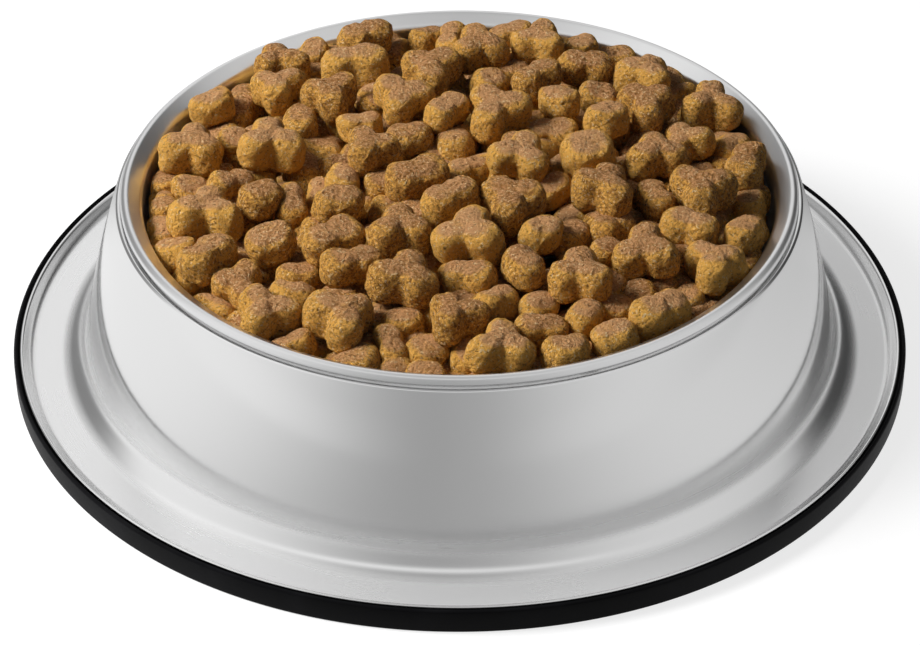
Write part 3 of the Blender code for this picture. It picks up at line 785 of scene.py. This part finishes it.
def white_floor():
    """A white floor that shows the object's shadow and is plain white beyond it."""
    material, start, shader = new_surface("white_floor")
    tree = start.tree
    shader.inputs["Base Color"].default_value = (0.30, 0.30, 0.30, 1.0)
    shader.inputs["Roughness"].default_value = 1.0
    shader.inputs["Specular IOR Level"].default_value = 0.0
    path = start.node("ShaderNodeLightPath", {}).socket.node.outputs
    seen = Value(tree, path["Is Camera Ray"]) + Value(tree, path["Is Glossy Ray"])
    fill = start.node("ShaderNodeEmission", {"Strength": seen * 0.78})
    both = start.node("ShaderNodeAddShader", {0: Value(tree, shader.outputs[0]), 1: fill})
    tree.links.new(both.socket, tree.nodes["Material Output"].inputs["Surface"])
    return material


floor = mesh_piece("floor", corners, [(0, 1, 2, 3)], white_floor())

TENT_RADIUS = 3.0
TENT_OPENING = 0.126
TENT_FOOT = 0.0003
# Each panel's bearing, in degrees to the right of the front, and its grey level.
SIDE_PANELS = ((-82.0, 0.26), (82.0, 0.06))
PANEL_RISE = 55.0


def eased(values, low, high):
    """0 below low, 1 above high and 3 t^2 - 2 t^3 between."""
    t = np.clip((values - low) / (high - low), 0.0, 1.0)
    return t * t * (3.0 - 2.0 * t)


def tent_level(points):
    """Grey level of the tent, laid out by the slope of steel that mirrors each point of it to the lens.

    That slope's outward line is halfway between the directions to the point and to the lens. Round the bowl
    the level is 0.97, less a dark band in front and a dimmer right side. Steel that lies flat mirrors 0.80,
    and more on the right. A strip overhead lights the flange by way of the wall, a dark panel behind either
    side fills the fillet, and behind the bowl on the right it is grey. The floor counts by its own bearing.
    """
    right, back, up = (points / np.linalg.norm(points, axis=1, keepdims=True)).T
    halfway = np.stack([right, back, up]) + camera_back[:, None]
    halfway /= np.linalg.norm(halfway, axis=0)
    bearing = np.degrees(np.arctan2(halfway[0], -halfway[1]))
    rise = np.degrees(np.arcsin(halfway[2]))
    floor_share = 1.5 + 0.3 * eased(np.hypot(points[:, 0], points[:, 1]), 0.3, 1.0)
    on_floor = up < 0.001
    bearing = np.where(on_floor, np.degrees(np.arctan2(right, -back)) / floor_share, bearing)
    level = 0.97 - 0.57 * np.exp(-(((bearing + 4.0) / 22.0) ** 2)) - 0.35 * np.clip(bearing / 60.0, 0.0, 1.0)
    flat = 0.80 + 0.02 * np.exp(-(((bearing + 45.0) / 28.0) ** 2))
    flat = flat + 0.22 * np.exp(-(((bearing - 45.0) / 40.0) ** 2))
    flatness = np.where(on_floor, 0.0, eased(rise, 79.0, 84.0))
    level = level + (flat - level) * flatness
    strip_rise = 51.6 + 13.4 * (bearing / 48.0) ** 2
    strip = np.exp(-(((rise - strip_rise) / 4.5) ** 2)) * (np.abs(bearing) < 60.0)
    level = level + (0.88 - 0.004 * bearing - level) * np.where(on_floor, 0.0, strip)
    behind = eased(bearing, 95.0, 115.0) * eased(rise, 30.0, 40.0) * (1.0 - eased(rise, 68.0, 80.0))
    level = level + (0.38 - level) * np.where(on_floor, 0.0, behind)
    for middle, shade in SIDE_PANELS:
        inside = np.exp(-(((bearing - middle) / 24.0) ** 8) - ((rise - PANEL_RISE) / 22.0) ** 8)
        level = level + (shade - level) * np.where(on_floor, 0.0, inside)
    return level


tent_floor = np.stack([np.geomspace(TENT_OPENING, TENT_RADIUS, 40), np.full(40, TENT_FOOT)], axis=1)
tent_wall = arc((0.0, TENT_FOOT), TENT_RADIUS, 0.0, 90.0, 60)[1:]
tent_wall[-1, 0] = 0.0
tent_cloth = bpy.data.materials.new("tent_cloth")
tent_cloth.use_nodes = True
tent_tree = tent_cloth.node_tree
tent_tree.nodes.clear()
tent_grey = Value(tent_tree).node("ShaderNodeAttribute", {}, {"attribute_name": "grey"}, output=2)
tent_glow = tent_grey.node("ShaderNodeEmission", {"Strength": tent_grey})
tent_end = tent_tree.nodes.new("ShaderNodeOutputMaterial")
tent_tree.links.new(tent_glow.socket, tent_end.inputs["Surface"])
tent = turned_piece("light_tent", np.concatenate([tent_floor, tent_wall]), tent_cloth)
tent_points = np.zeros(3 * len(tent.data.vertices))
tent.data.vertices.foreach_get("co", tent_points)
tent_layer = tent.data.attributes.new("grey", "FLOAT", "POINT")
tent_layer.data.foreach_set("value", tent_level(tent_points.reshape(-1, 3)).astype(np.float32))
tent.visible_camera = False
tent.visible_diffuse = False
tent.visible_shadow = False
tent.visible_transmission = False

world = bpy.data.worlds.new("studio")
world.use_nodes = True
bpy.context.scene.world = world
sky_tree = world.node_tree
sky_start = Value(sky_tree)
sky_path = sky_start.node("ShaderNodeLightPath", {}).socket.node.outputs
camera_ray = Value(sky_tree, sky_path["Is Camera Ray"])
glossy_ray = Value(sky_tree, sky_path["Is Glossy Ray"])
clear_ray = Value(sky_tree, sky_path["Is Transmission Ray"])
seen = sky_start.math("MINIMUM", camera_ray + glossy_ray + clear_ray, 1.0)
sky_tree.links.new((seen * 0.90 + 0.10).socket, sky_tree.nodes["Background"].inputs["Strength"])
sky_tree.nodes["Background"].inputs["Color"].default_value = (1.0, 1.0, 1.0, 1.0)


def soft_lamp(name, place, size, power):
    """A square area lamp that faces the middle of the bowl."""
    data = bpy.data.lights.new(name, "AREA")
    data.size = size
    data.energy = power
    lamp = bpy.data.objects.new(name, data)
    lamp.location = place
    lamp.visible_glossy = False
    lamp.rotation_mode = "QUATERNION"
    lamp.rotation_quaternion = (Vector((0.0, 0.0, 0.03)) - Vector(place)).to_track_quat("-Z", "Y")
    bpy.context.scene.collection.objects.link(lamp)


soft_lamp("key_lamp", (-0.80, -0.05, 0.75), 0.42, 18.0)
